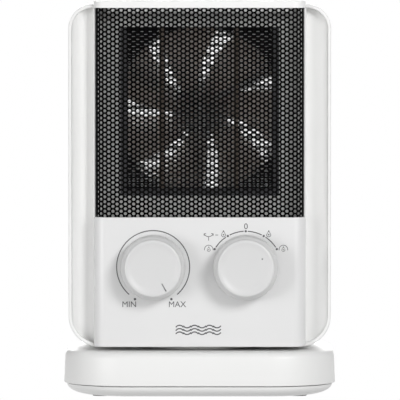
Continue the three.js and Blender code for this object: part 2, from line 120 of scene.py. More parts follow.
@dataclass(frozen=True)
class Finish:
    """A surface finish that builds its own material."""

    name: str
    colour: str
    roughness: float

    def shade(self, tree: bpy.types.NodeTree, shader: bpy.types.Node, coords: bpy.types.NodeSocket) -> None:
        """Dress the shader; each kind of finish has its own way."""
        raise NotImplementedError

    def material(self) -> bpy.types.Material:
        """Return the finish's material, made on first use."""
        made = bpy.data.materials.get(self.name)
        if made is not None:
            return made
        made = bpy.data.materials.new(self.name)
        made.use_nodes = True
        tree = made.node_tree
        tree.nodes.clear()
        shader = add_node(tree, "ShaderNodeBsdfPrincipled")
        shader.inputs["Base Color"].default_value = linear(self.colour)
        shader.inputs["Roughness"].default_value = self.roughness
        coords = add_node(tree, "ShaderNodeTexCoord").outputs["Object"]
        self.shade(tree, shader, coords)
        add_node(tree, "ShaderNodeOutputMaterial", links={"Surface": shader.outputs["BSDF"]})
        return made

    def drift(
        self,
        tree: bpy.types.NodeTree,
        shader: bpy.types.Node,
        coords: bpy.types.NodeSocket,
        size_mm: float,
        darker: float,
    ) -> None:
        """Let the colour drift slowly between its own value and a darker one.

        Args:
            tree: the material's node tree.
            shader: its principled shader.
            coords: object coordinates, in metres.
            size_mm: the size of a patch of even tone.
            darker: how dark the second tone is, as a share of the first.
        """
        base = linear(self.colour)
        second = (base[0] * darker, base[1] * darker, base[2] * darker, 1.0)
        noise = add_node(
            tree,
            "ShaderNodeTexNoise",
            {"Scale": 1 / (size_mm * MM), "Detail": 3.0, "Roughness": 0.55},
            {"Vector": coords},
        )
        tone = add_node(
            tree,
            "ShaderNodeMix",
            {"data_type": "RGBA", 6: base, 7: second},
            {0: noise.outputs["Fac"]},
        )
        tree.links.new(tone.outputs[2], shader.inputs["Base Color"])

    def grain(
        self,
        tree: bpy.types.NodeTree,
        shader: bpy.types.Node,
        vector: bpy.types.NodeSocket,
        size_mm: float,
        depth_mm: float,
        swing: float,
    ) -> None:
        """Give the surface a fine grain in height and in roughness.

        Args:
            tree: the material's node tree.
            shader: its principled shader.
            vector: the coordinates of the pattern, in metres.
            size_mm: the spacing of the grain.
            depth_mm: its height.
            swing: how far roughness moves to either side.
        """
        noise = add_node(
            tree,
            "ShaderNodeTexNoise",
            {"Scale": 1 / (size_mm * MM), "Detail": 2.0},
            {"Vector": vector},
        )
        bump = add_node(
            tree,
            "ShaderNodeBump",
            {"Strength": 1.0, "Distance": depth_mm * MM},
            {"Height": noise.outputs["Fac"]},
        )
        tree.links.new(bump.outputs["Normal"], shader.inputs["Normal"])
        rough = add_node(
            tree,
            "ShaderNodeMapRange",
            {"To Min": self.roughness - swing, "To Max": self.roughness + swing},
            {"Value": noise.outputs["Fac"]},
        )
        tree.links.new(rough.outputs["Result"], shader.inputs["Roughness"])


@dataclass(frozen=True)
class MouldedPlastic(Finish):
    """Injection-moulded thermoplastic: an even colour under a faint spark-eroded mould grain."""

    grain_mm: float = 0.8
    depth_mm: float = 0.006
    darker: float = 0.97

    def shade(self, tree: bpy.types.NodeTree, shader: bpy.types.Node, coords: bpy.types.NodeSocket) -> None:
        """Dress the shader with slow tone drift and mould grain."""
        shader.inputs["IOR"].default_value = 1.53
        self.drift(tree, shader, coords, 60.0, self.darker)
        self.grain(tree, shader, coords, self.grain_mm, self.depth_mm, 0.05)


@dataclass(frozen=True)
class ThinMoulding(MouldedPlastic):
    """Thin unfilled moulding that lets some light through, so that it glows when lit from behind."""

    glow: float = 0.5

    def material(self) -> bpy.types.Material:
        """Return the moulding's material with a share of light passed through."""
        known = bpy.data.materials.get(self.name)
        made = super().material()
        if known is not None:
            return made
        tree = made.node_tree
        skin = next(n for n in tree.nodes if n.type == "BSDF_PRINCIPLED")
        end = next(n for n in tree.nodes if n.type == "OUTPUT_MATERIAL")
        through = add_node(tree, "ShaderNodeBsdfTranslucent", {"Color": linear(self.colour)})
        blend = add_node(
            tree,
            "ShaderNodeMixShader",
            {0: self.glow},
            {1: skin.outputs["BSDF"], 2: through.outputs["BSDF"]},
        )
        tree.links.new(blend.outputs["Shader"], end.inputs["Surface"])
        return made


@dataclass(frozen=True)
class PowderCoat(Finish):
    """Baked powder coat on steel: a thick, deep matt skin with a slight orange-peel roll."""

    peel_mm: float = 1.1
    gloss: float = 0.03

    def shade(self, tree: bpy.types.NodeTree, shader: bpy.types.Node, coords: bpy.types.NodeSocket) -> None:
        """Dress the shader with orange peel."""
        shader.inputs["IOR"].default_value = 1.5
        shader.inputs["Specular IOR Level"].default_value = self.gloss
        self.drift(tree, shader, coords, 25.0, 0.8)
        self.grain(tree, shader, coords, self.peel_mm, 0.01, 0.06)


@dataclass(frozen=True)
class BareMetal(Finish):
    """Rolled, drawn or plated metal, with marks that run one way."""

    along: Axis = Axis.X
    line_mm: float = 0.5
    darker: float = 0.8

    def shade(self, tree: bpy.types.NodeTree, shader: bpy.types.Node, coords: bpy.types.NodeSocket) -> None:
        """Dress the shader with drawn lines along one axis."""
        shader.inputs["Metallic"].default_value = 1.0
        stretch = [1.0, 1.0, 1.0]
        stretch[self.along.value] = 0.06
        mapping = add_node(tree, "ShaderNodeMapping", {"Scale": stretch}, {"Vector": coords})
        self.drift(tree, shader, coords, 12.0, self.darker)
        self.grain(tree, shader, mapping.outputs["Vector"], self.line_mm, 0.008, 0.07)


@dataclass(frozen=True)
class FiredCeramic(Finish):
    """Pressed and fired body: chalky, speckled and quite rough."""

    def shade(self, tree: bpy.types.NodeTree, shader: bpy.types.Node, coords: bpy.types.NodeSocket) -> None:
        """Dress the shader with a chalky speckle."""
        shader.inputs["IOR"].default_value = 1.6
        self.drift(tree, shader, coords, 1.5, 0.82)
        self.grain(tree, shader, coords, 0.5, 0.02, 0.05)


@dataclass(frozen=True)
class MouldedRubber(Finish):
    """Compression-moulded rubber: matt, with dust in its fine texture."""

    def shade(self, tree: bpy.types.NodeTree, shader: bpy.types.Node, coords: bpy.types.NodeSocket) -> None:
        """Dress the shader with a dusty matt skin."""
        shader.inputs["IOR"].default_value = 1.52
        shader.inputs["Specular IOR Level"].default_value = 0.3
        self.drift(tree, shader, coords, 4.0, 0.75)
        self.grain(tree, shader, coords, 0.6, 0.03, 0.04)


@dataclass(frozen=True)
class PadPrint(Finish):
    """Pad-printed ink: thin, matt, and a little uneven where the pad left it."""

    def shade(self, tree: bpy.types.NodeTree, shader: bpy.types.Node, coords: bpy.types.NodeSocket) -> None:
        """Dress the shader with slightly uneven ink."""
        shader.inputs["IOR"].default_value = 1.48
        self.drift(tree, shader, coords, 1.2, 0.88)
        self.grain(tree, shader, coords, 0.4, 0.004, 0.03)


WHITE_ABS = MouldedPlastic("white_moulded_abs", "#ECECEB", 0.42)
PANEL_ABS = MouldedPlastic("panel_moulded_abs", "#E1E1E1", 0.36, grain_mm=0.7, depth_mm=0.004)
WING_ABS = MouldedPlastic("wing_moulded_abs", "#EEEEED", 0.45)
KNOB_ABS = MouldedPlastic("knob_moulded_abs", "#D6D6D6", 0.4, grain_mm=0.6, depth_mm=0.004)
BLACK_COAT = PowderCoat("black_powder_coat", "#050505", 0.6)
CORE_NYLON = MouldedPlastic("grey_glass_filled_nylon", "#5C5C60", 0.55, darker=0.85)
DARK_NYLON = MouldedPlastic("dark_moulded_nylon", "#26272A", 0.55, grain_mm=0.9, darker=0.85)
PALE_NYLON = MouldedPlastic("pale_moulded_nylon", "#C9C9C6", 0.5, darker=0.93)
FAN_PP = ThinMoulding("smoky_moulded_polypropylene", "#DDD5CF", 0.5, darker=0.93, glow=0.6)
FOOT_RUBBER = MouldedRubber("grey_moulded_rubber", "#6A6A6A", 0.8)
ZINC = BareMetal("zinc_plated_steel", "#B9BBBD", 0.34, line_mm=0.6)
FIN_STRIP = BareMetal("rolled_aluminium_strip", "#EDEEEF", 0.5, along=Axis.Z, darker=0.92)
CERAMIC = FiredCeramic("fired_titanate_ceramic", "#7A6E64", 0.75)
SLEEVE = MouldedPlastic("red_silicone_sleeve", "#7C2A20", 0.6, darker=0.85)
# The pointer grey is painted shade at the bottom of the engraved groove, dressed with the pad print finish; the groove
# itself is real.
POINTER_GROOVE_SHADE = PadPrint("pointer_groove_painted_shade", "#8C8C8E", 0.6)
PRINT_INK = PadPrint("grey_pad_print", "#58585A", 0.6)


# ---------------------------------------------------------------- bench tools
def shade_by_angle(bm: bmesh.types.BMesh, limit_deg: float = 34.0) -> None:
    """Shade faces smooth and keep edges sharper than the limit crisp."""
    limit = math.radians(limit_deg)
    for face in bm.faces:
        face.smooth = True
    for edge in bm.edges:
        edge.smooth = len(edge.link_faces) == 2 and edge.calc_face_angle(0.0) < limit


class Blank:
    """A piece on the bench, worked in millimetres with bmesh operators."""

    def __init__(self) -> None:
        """Start with nothing on the bench."""
        self.bm = bmesh.new()

    @classmethod
    def block(cls, low: Point, high: Point) -> "Blank":
        """Start from a block between two corners."""
        blank = cls()
        bmesh.ops.create_cube(blank.bm, size=1.0)
        size = [h - l for l, h in zip(low, high)]
        middle = [(h + l) / 2 for l, h in zip(low, high)]
        bmesh.ops.scale(blank.bm, vec=size, verts=blank.bm.verts[:])
        bmesh.ops.translate(blank.bm, vec=middle, verts=blank.bm.verts[:])
        return blank

    @classmethod
    def turned(cls, profile: Sequence[tuple[float, float]], axis: Axis, steps: int = 64) -> "Blank":
        """Turn a profile once round an axis through the origin.

        Args:
            profile: radius and height pairs; it starts and ends on the axis, or closes on itself.
            axis: the axis it turns about.
            steps: the number of steps in a full turn.

        Returns:
            The turned blank, closed.
        """
        blank = cls()
        bm = blank.bm
        out = Axis.X.unit if axis is not Axis.X else Axis.Y.unit
        verts = [bm.verts.new(out * r + axis.unit * h) for r, h in profile]
        edges = [bm.edges.new(pair) for pair in zip(verts, verts[1:])]
        if profile[0][0] > 0:
            edges.append(bm.edges.new((verts[-1], verts[0])))
        bmesh.ops.spin(
            bm,
            geom=verts + edges,
            cent=(0, 0, 0),
            axis=axis.unit,
            angle=math.tau,
            steps=steps,
            use_merge=True,
        )
        bmesh.ops.remove_doubles(bm, verts=bm.verts[:], dist=1e-4)
        blank.face_outwards()
        return blank

    def face_outwards(self) -> "Blank":
        """Turn every face outwards."""
        bmesh.ops.recalc_face_normals(self.bm, faces=self.bm.faces[:])
        return self

    def edges(self, test: Test, along: Axis | None = None) -> list[bmesh.types.BMEdge]:
        """List the edges whose two ends pass a test, and that run along an axis if one is given."""
        chosen = []
        for edge in self.bm.edges:
            if not all(test(v.co) for v in edge.verts):
                continue
            run = edge.verts[1].co - edge.verts[0].co
            if along is None or abs(run.normalized().dot(along.unit)) > 0.999:
                chosen.append(edge)
        return chosen

    def soften(self, edges: Sequence[bmesh.types.BMEdge], radius: float, segments: int = 4) -> "Blank":
        """Round a set of edges to a radius."""
        bmesh.ops.bevel(
            self.bm,
            geom=list(edges),
            offset=radius,
            offset_type="OFFSET",
            segments=segments,
            profile=0.5,
            affect="EDGES",
            clamp_overlap=True,
            material=-1,
        )
        return self

    def rim(self, axis: Axis, at: float, tolerance: float = 0.01) -> list[bmesh.types.BMEdge]:
        """List the edges of the flat face square to an axis at one height, without inner ones."""
        level = self.edges(lambda co: abs(co[axis.value] - at) < tolerance)
        return [e for e in level if any(abs(f.normal[axis.value]) < 0.9 for f in e.link_faces)]

    def face(self, axis: Axis, at: float, sign: int, tolerance: float = 0.01) -> bmesh.types.BMFace:
        """Return the largest face square to an axis at one height, on the given side."""
        found = [
            f
            for f in self.bm.faces
            if abs(f.calc_center_median()[axis.value] - at) < tolerance and f.normal[axis.value] * sign > 0.99
        ]
        return max(found, key=lambda f: f.calc_area())

    def pocket(self, axis: Axis, at: float, sign: int, wall: float, depths: Sequence[tuple[float, float]]) -> "Blank":
        """Sink a pocket into a flat face, leaving a wall round it.

        Args:
            axis: the axis the face is square to.
            at: where the face is.
            sign: which way the face looks.
            wall: the thickness of the wall left round the pocket.
            depths: for each stage, how far it goes in and how much it draws in at its end.

        Returns:
            This blank.
        """
        face = self.face(axis, at, sign)
        bmesh.ops.inset_region(self.bm, faces=[face], thickness=wall, use_even_offset=True)
        for depth, draw_in in depths:
            face = bmesh.ops.extrude_discrete_faces(self.bm, faces=[face])["faces"][0]
            bmesh.ops.translate(self.bm, vec=axis.unit * (-sign * depth), verts=face.verts)
            if draw_in:
                middle = face.calc_center_median()
                spans = [max(v.co[i] for v in face.verts) - middle[i] for i in range(3)]
                shrink = [1 - draw_in / s if s > draw_in else 1.0 for s in spans]
                bmesh.ops.scale(self.bm, vec=shrink, space=Matrix.Translation(-middle), verts=face.verts)
        return self.face_outwards()

    def stretch(self, scale: Point, about: Point, test: Test | None = None) -> "Blank":
        """Scale the vertices that pass a test about a point."""
        verts = [v for v in self.bm.verts if test is None or test(v.co)]
        bmesh.ops.scale(self.bm, vec=scale, space=Matrix.Translation(-Vector(about)), verts=verts)
        return self

    def move(self, by: Point) -> "Blank":
        """Shift the whole blank."""
        bmesh.ops.translate(self.bm, vec=by, verts=self.bm.verts[:])
        return self

    def turn(self, degrees: float, axis: Axis, about: Point = (0, 0, 0)) -> "Blank":
        """Turn the whole blank about an axis through a point."""
        spin = Matrix.Rotation(math.radians(degrees), 3, axis.unit)
        bmesh.ops.rotate(self.bm, cent=about, matrix=spin, verts=self.bm.verts[:])
        return self

    def take(self, other: "Blank") -> "Blank":
        """Add another blank's mesh to this one and clear the other."""
        mesh = bpy.data.meshes.new("bench")
        other.bm.to_mesh(mesh)
        self.bm.from_mesh(mesh)
        bpy.data.meshes.remove(mesh)
        other.bm.free()
        return self

    def release(self, name: str, limit_deg: float = 34.0) -> bpy.types.Object:
        """Take the piece off the bench as an object in metres."""
        bmesh.ops.scale(self.bm, vec=(MM, MM, MM), verts=self.bm.verts[:])
        shade_by_angle(self.bm, limit_deg)
        mesh = bpy.data.meshes.new(name)
        self.bm.to_mesh(mesh)
        self.bm.free()
        made = bpy.data.objects.new(name, mesh)
        bpy.context.scene.collection.objects.link(made)
        return made


def apply_modifiers(target: bpy.types.Object, limit_deg: float = 34.0) -> None:
    """Fix an object's modifiers into its mesh and shade it again."""
    graph = bpy.context.evaluated_depsgraph_get()
    mesh = bpy.data.meshes.new_from_object(target.evaluated_get(graph))
    target.modifiers.clear()
    old = target.data
    target.data = mesh
    bpy.data.meshes.remove(old)
    bm = bmesh.new()
    bm.from_mesh(mesh)
    shade_by_angle(bm, limit_deg)
    bm.to_mesh(mesh)
    bm.free()


class Join(Enum):
    """What a second shape does to a piece."""

    CUT = "DIFFERENCE"
    KEEP = "INTERSECT"
    ADD = "UNION"


def combine(target: bpy.types.Object, tool: Blank, how: Join) -> bpy.types.Object:
    """Cut a shape out of a piece, keep only what lies inside the shape, or add the shape.

    Args:
        target: the piece.
        tool: the second shape, which is used up.
        how: what the shape does to the piece.

    Returns:
        The target.
    """
    cutter = tool.release("tool")
    modifier = target.modifiers.new("combine", "BOOLEAN")
    modifier.operation = how.value
    modifier.solver = "EXACT"
    modifier.object = cutter
    apply_modifiers(target)
    mesh = cutter.data
    bpy.data.objects.remove(cutter)
    bpy.data.meshes.remove(mesh)
    return target


def dress(piece: bpy.types.Object, finish: Finish, slot: str, body: str, *replaced: str) -> bpy.types.Object:
    """Give a new piece its finish and hand it to the frame.

    Args:
        piece: the new object.
        finish: its finish.
        slot: the record's material slot that it belongs to; not used.
        body: the body that it moves with.
        replaced: the nodes that it stands for.

    Returns:
        The piece.
    """
    piece.data.materials.clear()
    piece.data.materials.append(finish.material())
    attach(piece, body)
    if replaced:
        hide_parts(*replaced)
    log.info("%s: %d faces", piece.name, len(piece.data.polygons))
    return piece


def rounded_block(low: Point, high: Point, along: Axis, radius_low: float, radius_high: float, segments: int) -> Blank:
    """Make a block whose four edges along an axis are rounded, the lower two and upper two apart.

    Args:
        low: its lowest corner.
        high: its highest corner.
        along: the axis that the rounded edges run along.
        radius_low: the radius of the lower edges, or of all four when the axis is Z.
        radius_high: the radius of the upper edges.
        segments: the steps in each quarter turn.

    Returns:
        The blank.
    """
    blank = Blank.block(low, high)
    if along is Axis.Z:
        return blank.soften(blank.edges(lambda co: True, along), radius_low, segments)
    middle = (low[2] + high[2]) / 2
    blank.soften(blank.edges(lambda co: co.z > middle, along), radius_high, segments)
    return blank.soften(blank.edges(lambda co: co.z < middle, along), radius_low, segments)


def rod(axis: Axis, at: Point, radius: float, length: float, segments: int = 32) -> Blank:
    """Make a round rod along an axis, centred on a point."""
    blank = Blank()
    bmesh.ops.create_cone(
        blank.bm,
        cap_ends=True,
        segments=segments,
        radius1=radius,
        radius2=radius,
        depth=length,
    )
    if axis is Axis.Y:
        blank.turn(90, Axis.X)
    elif axis is Axis.X:
        blank.turn(90, Axis.Y)
    return blank.move(at)


# ---------------------------------------------------------------- base
@dataclass
class Base:
    """The base that stands still: deck, tray, feet and the cord's bushing. Sizes in millimetres."""

    half_x: float = 85.5
    half_y: float = 65.0
    corner: float = 42.0
    split: float = 8.2
    top: float = 29.2
    wall: float = 2.4
    draft: float = 0.0105
    top_round: float = 4.0
    hub_hole: float = 34.4
    tray_inset: float = 1.8
    seam: float = 0.5
    tray_bottom: float = 0.8
    bulge: float = 16.0
    foot_x: float = 61.8
    foot_y: float = 30.0
    gland_z: float = 17.0
    plunger: tuple[float, float] = (-52.0, 8.0)
    plunger_hole: float = 3.4
    corner_steps: int = 28

    def cover(self) -> bpy.types.Object:
        """Build the deck: rounded plan, slight draft, soft top edge, open underneath."""
        low = (-self.half_x, -self.half_y, self.split)
        high = (self.half_x, self.half_y, self.top)
        blank = rounded_block(low, high, Axis.Z, self.corner, self.corner, self.corner_steps)
        narrow = 1 - self.draft
        blank.stretch((narrow, narrow, 1.0), (0, 0, 0), lambda co: co.z > self.top - 0.1)
        blank.soften(blank.rim(Axis.Z, self.top), self.top_round, 6)
        blank.soften(blank.rim(Axis.Z, self.split), 0.5, 3)
        blank.pocket(Axis.Z, self.split, -1, self.wall - 0.5, [(self.top - self.split - self.wall, 0.0)])
        piece = blank.release("base_deck")
        combine(piece, rod(Axis.Z, (0, 0, self.top), self.hub_hole, 20, 72), Join.CUT)
        combine(piece, rod(Axis.Y, (0, self.half_y, self.gland_z), 6.1, 12), Join.CUT)
        return dress(piece, WHITE_ABS, "white_plastic", "base", "base_cover")

    def tray(self) -> bpy.types.Object:
        """Build the bowl-shaped underside as a deep rounded block, flattened to its real rise."""
        x = self.half_x - self.tray_inset
        y = self.half_y - self.tray_inset
        top = self.split - self.seam
        deep = top - self.bulge
        blank = rounded_block(
            (-x, -y, deep),
            (x, y, top),
            Axis.Z,
            self.corner - self.tray_inset,
            self.corner - self.tray_inset,
            self.corner_steps,
        )
        blank.soften(blank.rim(Axis.Z, deep), self.bulge - 0.02, 9)
        rise = (top - self.tray_bottom) / self.bulge
        blank.stretch((1, 1, rise), (0, 0, top))
        blank.pocket(Axis.Z, top, 1, self.wall, [(3.2, 3.0)])
        piece = blank.release("base_bowl")
        combine(piece, rod(Axis.Z, (*self.plunger, top), self.plunger_hole, 24), Join.CUT)
        return dress(piece, WHITE_ABS, "white_plastic", "base", "base_tray")

    def feet(self) -> None:
        """Turn the four rubber feet, each with a rolled lower edge."""
        for index, (sx, sy) in enumerate(((-1, -1), (1, -1), (1, 1), (-1, 1)), start=1):
            profile = [(0, 0.35), (4.4, 0.35), (4.7, 0), (5.5, 0), (5.8, 0.4), (5.8, 1.6), (2.2, 1.6), (2.2, 4.6), (0, 4.6)]
            blank = Blank.turned(profile, Axis.Z, 32)
            blank.move((sx * self.foot_x, sy * self.foot_y, 0))
            dress(blank.release(f"rubber_foot_{index}"), FOOT_RUBBER, "foot_rubber", "base", f"foot_{index}")

    def gland(self) -> bpy.types.Object:
        """Turn the empty bushing that the supply cord leaves through."""
        profile = [(3.5, 56), (6, 56), (6, 60), (7.3, 60), (7.3, 61.9), (6, 61.9), (6, 64.4), (5.6, 64.8), (4.2, 64.8), (3.5, 64.1)]
        blank = Blank.turned(profile, Axis.Y, 40).move((0, 0, self.gland_z))
        return dress(blank.release("cord_bushing"), DARK_NYLON, "dark_plastic", "base", "cord_gland")

    def build(self) -> None:
        """Build every visible piece of the base."""
        self.cover()
        self.tray()
        self.feet()
        self.gland()


# ---------------------------------------------------------------- housing
@dataclass
class Housing:
    """The tube, rear cover and front moulding that swing on the base. Sizes in millimetres."""

    half_x: float = 82.5
    low: float = 31.2
    high: float = 246.6
    round_low: float = 19.5
    round_high: float = 15.5
    wall: float = 2.2
    front: float = -38.0
    back: float = 34.0
    rear: float = 50.0
    rear_round: float = 9.5
    fan_z: float = 179.5
    slot_pitch: float = 6.6
    slot_height: float = 4.6
    slot_rows: int = 16
    intake_radius: float = 53.0
    screw_x: float = 68.0
    screw_z: tuple[float, float] = (46.0, 232.0)

    def blank(self, y0: float, y1: float, inset: float = 0.0) -> Blank:
        """Make the housing's rounded outline between two depths, drawn in by an inset."""
        low = (-self.half_x + inset, y0, self.low + inset)
        high = (self.half_x - inset, y1, self.high - inset)
        return rounded_block(low, high, Axis.Y, self.round_low - inset, self.round_high - inset, 16)

    def tube(self) -> bpy.types.Object:
        """Build the open tube with its softly rounded front rim."""
        blank = self.blank(self.front, self.back)
        piece = blank.release("housing_tube")
        combine(piece, self.blank(self.front - 5, self.back + 5, self.wall), Join.CUT)
        bm = bmesh.new()
        bm.from_mesh(piece.data)
        front = self.front * MM
        rim = [
            e
            for e in bm.edges
            if all(abs(v.co.y - front) < 1e-5 for v in e.verts)
            and any(abs(f.normal.y) < 0.5 for f in e.link_faces)
        ]
        bmesh.ops.bevel(
            bm,
            geom=rim,
            offset=0.9 * MM,
            offset_type="OFFSET",
            segments=4,
            profile=0.5,
            affect="EDGES",
            clamp_overlap=True,
            material=-1,
        )
        shade_by_angle(bm)
        bm.to_mesh(piece.data)
        bm.free()
        return dress(piece, WHITE_ABS, "white_plastic", "housing", "outer_shell")

    def slots(self) -> Blank:
        """Make the cutters of the air intake: level slots that fill a circle, split by one rib."""
        cutters = Blank()
        for row in range(self.slot_rows):
            offset = (row - (self.slot_rows - 1) / 2) * self.slot_pitch
            reach = math.sqrt(self.intake_radius**2 - offset**2)
            z = self.fan_z + offset
            half = self.slot_height / 2
            for side in Side:
                inner, outer = sorted((side.value * 1.6, side.value * reach))
                slot = Blank.block((inner, self.back + 4, z - half), (outer, self.rear + 5, z + half))
                slot.soften(slot.edges(lambda co: True, Axis.Y), 1.2, 3)
                cutters.take(slot)
        return cutters

    def rear_cover(self) -> bpy.types.Object:
        """Build the domed rear cover with its intake slots and screw wells."""
        blank = self.blank(self.back, self.rear)
        blank.soften(blank.rim(Axis.Y, self.rear), self.rear_round, 8)
        blank.pocket(Axis.Y, self.back, -1, self.wall, [(6.0, 0.0), (7.8, 7.5)])
        piece = blank.release("housing_back")
        combine(piece, self.slots(), Join.CUT)
        for x, z in self.screws():
            combine(piece, rod(Axis.Y, (x, self.back + 12.2, z), 4.0, 20, 32), Join.CUT)
        return dress(piece, WHITE_ABS, "white_plastic", "housing", "rear_cover")

    def screws(self) -> list[tuple[float, float]]:
        """List the places of the rear screws."""
        return [(side.value * self.screw_x, z) for z in self.screw_z for side in Side]

    def rear_screws(self) -> None:
        """Build the pan-head screws in their wells, with cross recesses."""
        for index, (x, z) in enumerate(self.screws(), start=1):
            y = self.back + 2.2
            profile = [(0, y - 13), (1.5, y - 13), (1.5, y), (3.2, y), (3.2, y + 1.2), (2.5, y + 1.9), (0, y + 2.1)]
            piece = Blank.turned(profile, Axis.Y, 32).move((x, 0, z)).release(f"back_screw_{index}")
            for a, b in ((1.9, 0.35), (0.35, 1.9)):
                combine(piece, Blank.block((x - a, y + 1.1, z - b), (x + a, y + 3, z + b)), Join.CUT)
            dress(piece, ZINC, "plated_steel", "housing", f"rear_screw_{index}")

    def build(self) -> None:
        """Build the tube, the rear cover and its screws."""
        self.tube()
        self.rear_cover()
        self.rear_screws()


@dataclass
class FrontMoulding:
    """The one-piece front: concave wings, plate with a window, ridges and top lip."""

    housing: Housing
    wing_root: float = 67.4
    wing_tip: float = 80.2
    plate_y: float = -30.0
    tip_y: float = -37.6
    plate_back: float = -27.6
    window_x: float = 50.0
    window_low: float = 125.9
    window_high: float = 232.2
    ridge: tuple[float, float] = (65.3, 67.0)
    ridge_front: float = -39.0
    rib: tuple[float, float] = (62.4, 64.2)
    rib_front: float = -41.6
    lip_x: float = 66.6
    lip_front: float = -46.5
    lip_low: float = 244.5
    lip_high: float = 248.7

    def wing_curve(self, steps: int = 14) -> list[tuple[float, float]]:
        """Work out the cove, an arc tangent to the plate that rises to the housing's rim."""
        reach = self.wing_tip - self.wing_root
        rise = self.plate_y - self.tip_y
        radius = (reach**2 + rise**2) / (2 * rise)
        end = math.asin(reach / radius)
        return [
            (self.wing_root + radius * math.sin(a), self.plate_y - radius * (1 - math.cos(a)))
            for a in (end * i / steps for i in range(steps + 1))
        ]

    def build(self) -> bpy.types.Object:
        """Build the moulding from its plan, trimmed to the inside of the housing."""
        h = self.housing
        curve = self.wing_curve()
        right = curve + [(self.wing_tip, self.tip_y + 3.4), (73.0, -28.2), (69.0, self.plate_back)]
        plan = right + [(-x, y) for x, y in reversed(right)]
        blank = Blank()
        verts = [blank.bm.verts.new((x, y, h.low + 2)) for x, y in plan]
        blank.bm.faces.new(verts)
        made = bmesh.ops.extrude_face_region(blank.bm, geom=blank.bm.faces[:], use_keep_orig=True)
        top = [g for g in made["geom"] if isinstance(g, bmesh.types.BMVert)]
        bmesh.ops.translate(blank.bm, vec=(0, 0, h.high - h.low - 4), verts=top)
        piece = blank.face_outwards().release("front_moulding")
        combine(piece, h.blank(-60, 0, h.wall + 0.05), Join.KEEP)
        x = self.window_x
        combine(piece, Blank.block((-x, -60, self.window_low), (x, 0, self.window_high)), Join.CUT)
        combine(piece, Blank.block((-54, -60, 52), (54, 0, 106)), Join.CUT)
        for side in Side:
            inner, outer = sorted(side.value * r for r in self.ridge)
            ridge = Blank.block((inner, self.ridge_front, 113.3), (outer, -28.5, 244.4))
            ridge.soften(ridge.edges(lambda co: co.y < -38, Axis.Z), 0.6, 3)
            combine(piece, ridge, Join.ADD)
        for side in Side:
            inner, outer = sorted(side.value * r for r in self.rib)
            combine(piece, Blank.block((inner, self.rib_front, 113.8), (outer, -28.5, 243.9)), Join.ADD)
        lip = Blank.block((-self.lip_x, self.lip_front, self.lip_low), (self.lip_x, -38.2, self.lip_high))
        lip.soften(lip.edges(lambda co: co.y < -46, Axis.Z), 8.0, 12)
        lip.soften(lip.rim(Axis.Z, self.lip_high), 1.3, 4)
        combine(piece, lip, Join.ADD)
        brow = Blank.block((-self.lip_x + 0.4, -40.0, h.high + 0.1), (self.lip_x - 0.4, -33.0, self.lip_high - 0.02))
        brow.soften(brow.edges(lambda co: co.z > h.high + 1, Axis.X), 1.2, 4)
        combine(piece, brow, Join.ADD)
        combine(piece, Blank.block((-58, -44.8, 241.6), (58, -27.7, 244.2)), Join.ADD)
        combine(piece, Blank.block((-58, -44.8, 243.6), (58, -38.4, 245)), Join.ADD)
        return dress(piece, WING_ABS, "light_plastic", "housing", "front_bezel")


